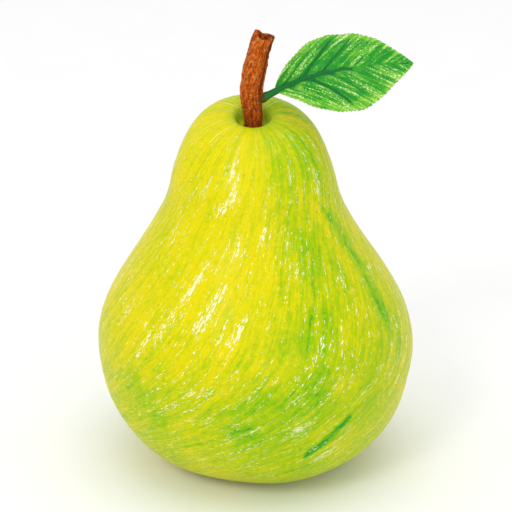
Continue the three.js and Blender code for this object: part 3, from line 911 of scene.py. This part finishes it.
def stalkShell():
    # circles along the midrib, thick at the stem and thinning to the tip, sunk under the blade
    q = leaf
    _, crossways, up = leafFrame()
    u = np.concatenate([np.linspace(q["stalkFrom"], 0.2, 60), np.linspace(0.2, q["stalkTo"], 120)[1:]])[:, None]
    angle = turns(q["stalkColumns"])[None, :]
    share = np.clip((u - q["stalkShare"]) / (1 - q["stalkShare"]), 0, 1)
    radius = mix(q["stalkRadius"], q["tipRadius"], share ** 0.55) * (1 + 0.35 * bell(u / 0.025))
    sink = (radius + 0.1) * smooth(share * 7)
    side, lift = polar(radius, angle)
    rings = midrib(u[:, 0])[:, None, :] + crossways * side[..., None] + up * (lift - sink)[..., None]
    sheet, ones = stacked(share * 30, side, 5 + 0 * radius), 1 + 0 * radius
    layers = {
        "sheet": sheet, "slant": sheet, "midrib": ones, "vein": ones, "halo": ones,
        "fineVein": smooth(share * 6), "edge": 0 * ones,
        "under": smooth(share * 7) * (1 - smooth(np.sin(angle) * 2)), "stalk": 1 - past(u, (-0.02, 0.1)),
    }
    return ringShell(rings, layers)


foliage = {
    "lime": (150, 206, 66), "bright": (98, 184, 34), "green": (58, 164, 28), "dark": (14, 142, 34),
    "vein": (4, 110, 40), "light": (222, 238, 172), "under": (140, 188, 100), "underVein": (192, 212, 142),
    "base": (72, 74, 14), "strokes": (0.9, 0.16, 1.0), "netScale": 1.25,
}


def leafGreen():
    # strokes of green with pale flecks between dark veins above, paler with light veins below
    f = Finish("leafGreen", foliage, Coat_Weight=0.06, Coat_Roughness=0.3, Specular_IOR_Level=0.2)
    sheet, slant = f.layer("sheet", vector=True), f.layer("slant", vector=True)
    strokes = f.noise(slant, foliage["strokes"], detail=3, roughness=0.6, distortion=0.4)
    patches = f.noise(sheet, 0.42)
    speckle = f.noise(sheet, 2.3, detail=3, roughness=0.7)
    netLines = 1 - f.eased(f.cells(sheet, foliage["netScale"], "DISTANCE_TO_EDGE"), 0.0, 0.08)

    tone = 0.41 + f.swing(strokes, 2.4) + f.swing(patches, 0.9) + f.swing(speckle, 1.3)
    tone = tone - f.layer("halo") * 0.16 + f.eased(f.layer("edge"), 0.66, 1.0) * 0.46
    upper = f.ramp(tone, dark=0.1, green=0.36, bright=0.6, lime=0.95)
    upper = f.blend(upper, "dark", netLines * 0.25)
    onVeins = f.layer("vein") * 0.2 + f.layer("midrib") * 0.3
    flecks = f.eased(speckle + f.swing(strokes, 0.8) - onVeins, 0.575, 0.665)
    upper = f.blend(upper, "light", flecks * 0.85)
    dark = f.layer("midrib") + f.layer("vein") * 0.9
    upper = f.blend(upper, "vein", f.eased(dark + f.swing(speckle, 0.9), 0.38, 0.78))
    lower = f.blend("under", "green", f.eased(patches, 0.35, 0.8) * 0.4)
    lower = f.blend(lower, "underVein", f.limited(f.layer("fineVein") + netLines * 0.35))
    colour = f.blend(upper, lower, f.layer("under"))
    colour = f.blend(colour, "base", f.eased(f.layer("stalk") + f.swing(speckle, 0.3), 0.55, 0.95))
    rough = 0.46 + f.layer("under") * 0.2 + f.swing(speckle, 0.16) + netLines * 0.08
    height = speckle * 0.4 - netLines * 0.7 + strokes * 0.3
    return f.feed(Base_Color=colour, Roughness=rough, Normal=f.relief(height, 0.07))


makePiece("pearLeaf", [bladeShell(), stalkShell()], leafGreen(), ["leaf"])


# Dried flower in the basin

flower = {
    "tubeRadius": 2.2, "tubeBore": 1.3, "tubeHeight": 1.1, "sepalLength": 4.4, "sepalWidth": 1.35,
    "sepalThickness": 0.3, "sepalGap": 0.3, "rootGap": 0.15, "droop": 0.9, "taper": 1.6, "tip": 0.12,
    "crinkle": (0.25, 0.9), "crinkleSeed": 40,  # share of the thickness and wavelength; first seed
    "filaments": 20, "filamentLength": 2.5, "filamentRadius": 0.085, "knob": 0.1, "turn": 2.4, "seed": 7,
}
basinTop = nodeBox("floral_tube")[1][2]  # the tube hangs from here
dry = {"dark": (44, 28, 16), "brown": (104, 70, 38), "light": (158, 120, 78)}


def driedFlower():
    # dark to light brown by fine and wide noise, darker towards the tips
    f = Finish("driedFlower", dry, Coat_Weight=0.0)
    place = f.place()
    grain = f.noise(place, 1500, detail=4, roughness=0.65)
    wide = f.noise(place, 420)
    tone = grain * 0.6 + wide * 0.5 - f.layer("tip") * 0.22
    colour = f.ramp(tone, dark=0.3, brown=0.5, light=0.8)
    rough = 0.7 + grain * 0.25
    return f.feed(Base_Color=colour, Roughness=rough, Normal=f.relief(grain, 0.14))


def sepalShell(number):
    # a tapering tongue along the basin's ceiling, cupped across, its tip curled down and its margin ragged
    heading = 2 * np.pi * number / 5 + np.pi / 2
    u, v = np.linspace(0, 1, 40)[:, None], np.linspace(-1, 1, 17)[None, :]
    width = flower["sepalWidth"] * np.maximum(1 - u ** flower["taper"], flower["tip"])
    ragged = 1 + 0.1 * np.sin(9 * u + number) + 0.07 * np.sin(23 * u + 2 * number)
    side = v * width * ragged
    radius = flower["tubeRadius"] + flower["rootGap"] + flower["sepalLength"] * u - 0.5 * past(u, (0.7, 0.3))
    under = basinCeiling(np.hypot(radius, side)) - flower["sepalGap"] - flower["sepalThickness"]
    cup = 0.3 * v ** 2 * (1 - u) - 0.25 * np.sin(5 * u + 1.7 * number) * v * u
    height = under - flower["droop"] * u ** 2 - cup
    c, s = math.cos(heading), math.sin(heading)
    centre = stacked(radius * c - side * s, radius * s + side * c, height)
    normals = gridNormals(centre, False, (0, 0, 1))
    crinkle = 1 + ripple(centre, *flower["crinkle"], flower["crinkleSeed"] + number)
    half = flower["sepalThickness"] / 2 * (1 - 0.5 * v ** 4) * crinkle
    tips = {"tip": smooth(u * 1.3)}
    return plateShell(centre + normals * half[..., None], centre - normals * half[..., None], tips, tips)


def tubeShell():
    # a ring whose section is a rounded oblong, its lower lip ragged
    f = flower
    around = turns(72)[None, :]
    turn = turns(28)[:, None]
    middle, half = (f["tubeRadius"] + f["tubeBore"]) / 2, (f["tubeRadius"] - f["tubeBore"]) / 2
    squarish = (np.abs(np.cos(turn)) ** 4 + np.abs(np.sin(turn)) ** 4) ** -0.25
    radius = middle + half * np.cos(turn) * squarish * (1 + 0.12 * np.sin(7 * around))
    height = f["tubeHeight"] / 2 * np.sin(turn) * squarish
    lip = smooth(-np.sin(turn)) * (0.22 * np.sin(5 * around + 1) + 0.12 * np.sin(13 * around))
    z = basinTop - f["tubeHeight"] / 2 + height + lip * 0.5
    points = stacked(*polar(radius, around), z)
    rows, columns = points.shape[:2]
    index = np.arange(rows * columns).reshape(rows, columns)
    quads = faces(np.pad(index, ((0, 1), (0, 1)), "wrap"))
    tips = {"tip": perPoint(smooth(-np.sin(turn)) * 0.6, rows, columns)}
    return outward(points.reshape(-1, 3), quads, tips)


def filamentShells():
    # thin stalks that fan out from the tube's bore and hang down, each ending in a small withered knob
    f = flower
    rng = np.random.default_rng(f["seed"])
    share = np.linspace(0, 1, 12)[:, None]
    angle = turns(6)[None, :]
    shells = []
    for number in range(f["filaments"]):
        heading, spread = number * f["turn"], math.sqrt((number + 0.5) / f["filaments"])
        length = f["filamentLength"] * rng.uniform(0.7, 1.0)
        bend = rng.normal(0, 0.22, 2)
        radius = f["filamentRadius"] + f["knob"] * near(share, (0.93, 0.07))
        axis = 0.75 * spread * (0.7 + 0.35 * share)
        x = axis * math.cos(heading) + bend[0] * share ** 2 + radius * np.cos(angle)
        y = axis * math.sin(heading) + bend[1] * share ** 2 + radius * np.sin(angle)
        z = basinTop - 0.05 - length * share
        shells.append(ringShell(stacked(x, y, z), {"tip": smooth(share)}))
    return shells


dryMaterial = driedFlower()
makePiece("floralTube", [tubeShell()], dryMaterial, ["floral_tube"])
makePiece("driedStamens", filamentShells(), dryMaterial, ["dried_stamens"])
for number in range(5):
    makePiece(f"sepal{number + 1}", [sepalShell(number)], dryMaterial, [f"sepal_{number + 1}"])
print("dried flower ready")
